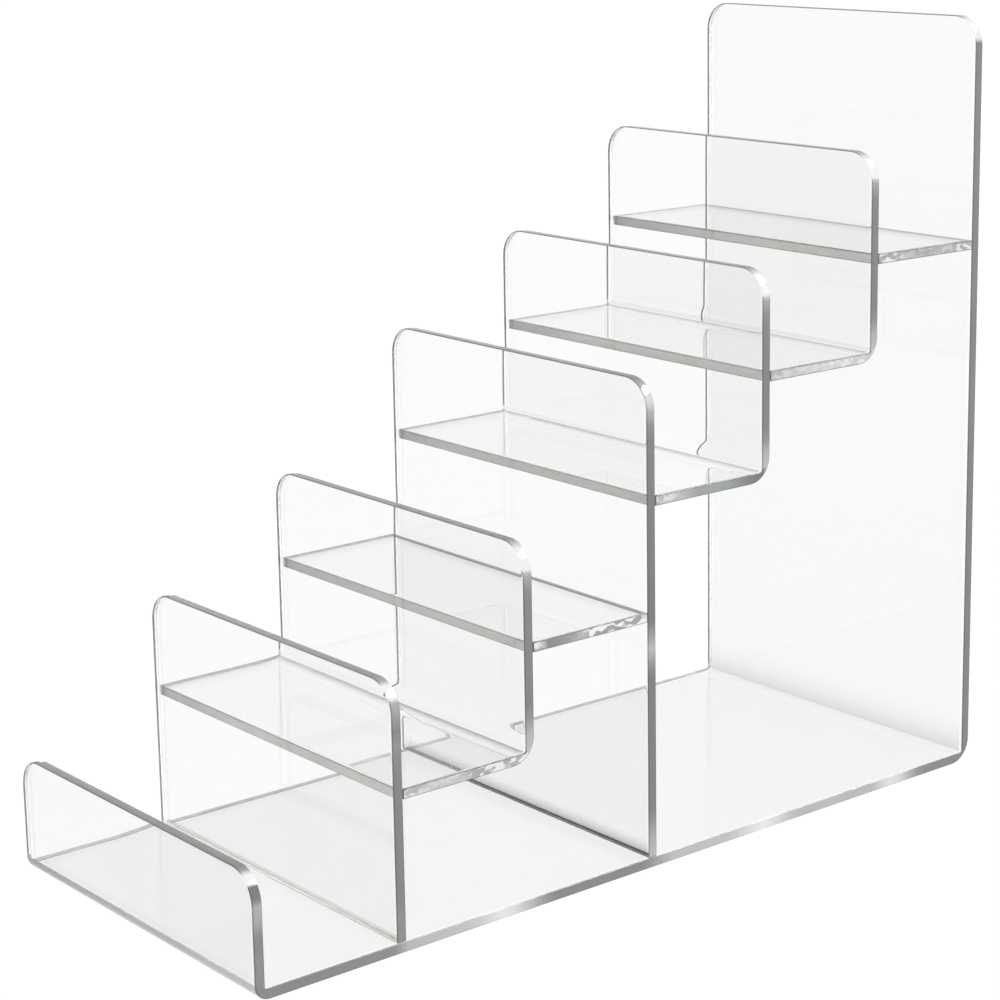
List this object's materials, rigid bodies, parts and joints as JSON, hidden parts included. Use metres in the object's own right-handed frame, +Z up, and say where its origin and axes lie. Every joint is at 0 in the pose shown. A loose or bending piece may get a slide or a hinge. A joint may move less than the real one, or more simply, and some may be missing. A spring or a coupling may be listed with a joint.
{
  "type": "nail polish rack",
  "caption": "Stepped countertop rack of clear acrylic sheet; lipped shelves rise towards a tall back panel and hold rows of nail polish bottles.",
  "frame": {"origin": "on the table under the middle of the floor, at the centre of the bounding box's bottom face", "axes": "+Z up, +Y from the front lip to the tall back, +X across the rack's width to the right as seen from the front"},
  "size_m": [0.12, 0.273, 0.238],
  "materials": {
    "clear_acrylic": "polished clear acrylic sheet with flame-polished edges",
    "cured_cement": "cured clear acrylic cement film with fine bubbles"
  },
  "bodies": {
    "root": {"base_sheet": "clear_acrylic", "tier_2_riser": "clear_acrylic", "tier_4_riser": "clear_acrylic", "tier_2_shelf": "clear_acrylic", "tier_4_shelf": "clear_acrylic", "tier_5_shelf": "clear_acrylic", "tier_3_shelf": "clear_acrylic", "tier_6_shelf": "clear_acrylic", "tier_2_floor_seam": "cured_cement", "tier_4_floor_seam": "cured_cement", "tier_2_front_seam": "cured_cement", "tier_3_front_seam": "cured_cement", "tier_4_front_seam": "cured_cement", "tier_5_front_seam": "cured_cement", "tier_6_front_seam": "cured_cement", "tier_3_rear_seam": "cured_cement", "tier_6_rear_seam": "cured_cement"}
  },
  "joints": []
}
